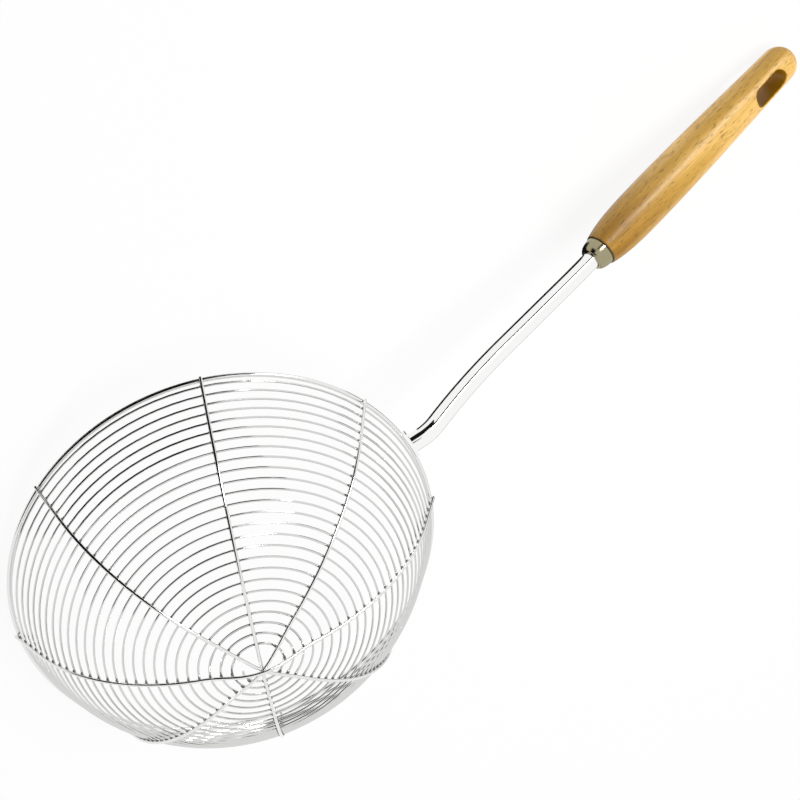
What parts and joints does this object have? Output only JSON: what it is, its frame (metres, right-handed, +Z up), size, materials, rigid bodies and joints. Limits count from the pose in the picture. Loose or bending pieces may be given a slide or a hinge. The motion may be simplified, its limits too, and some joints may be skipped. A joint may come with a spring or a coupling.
{
  "type": "spider skimmer",
  "caption": "Round wire skimmer with a spiral-wound domed basket, bent tubular stem and turned wooden handle with a hanging slot.",
  "frame": {"origin": "middle of the bounding box's base, on the surface that the skimmer lies on face down", "axes": "+Z up through the basket's dome, +X along the handle toward its hanging slot, Y across the basket"},
  "size_m": [0.4823, 0.2, 0.1036],
  "materials": {
    "steel": "polished stainless steel",
    "beech": "oiled beech with short dark flecks"
  },
  "bodies": {
    "root": {"rim_hoop": "steel", "coil_wire": "steel", "rib_wire_1": "steel", "rib_wire_2": "steel", "rib_wire_3": "steel", "rib_wire_4": "steel", "weld_saddle": "steel", "stem_tube": "steel", "ferrule": "steel", "handle": "beech"}
  },
  "joints": []
}
